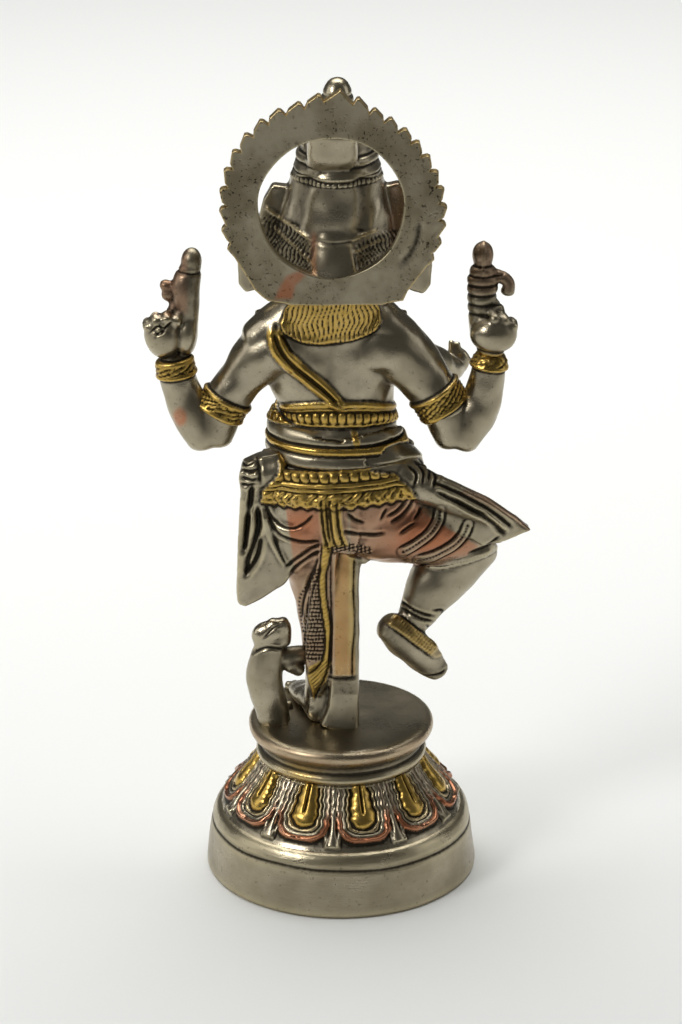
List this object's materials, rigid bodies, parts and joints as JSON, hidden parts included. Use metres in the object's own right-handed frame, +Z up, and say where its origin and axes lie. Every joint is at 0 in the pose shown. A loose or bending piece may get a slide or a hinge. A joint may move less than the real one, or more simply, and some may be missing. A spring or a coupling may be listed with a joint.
{
  "type": "dancing ganesh statue",
  "caption": "Cast metal figure of a dancing elephant-headed god with a toothed ring behind the head, standing on a round lotus pedestal.",
  "frame": {"origin": "centre of the flat underside of the pedestal", "axes": "+Z up through the figure, the figure faces -Y, its left hand side is +X"},
  "size_m": [0.1045, 0.075, 0.2271],
  "materials": {
    "silvered_brass": "worn satin silver plate over cast brass, dark in the recesses",
    "bare_brass": "polished brass left bare on belts, bands and petals",
    "copper_wash": "thin copper colour on the draped cloth and petal lips"
  },
  "bodies": {
    "root": {"dancing_ganesh_casting": "silvered_brass"}
  },
  "joints": []
}
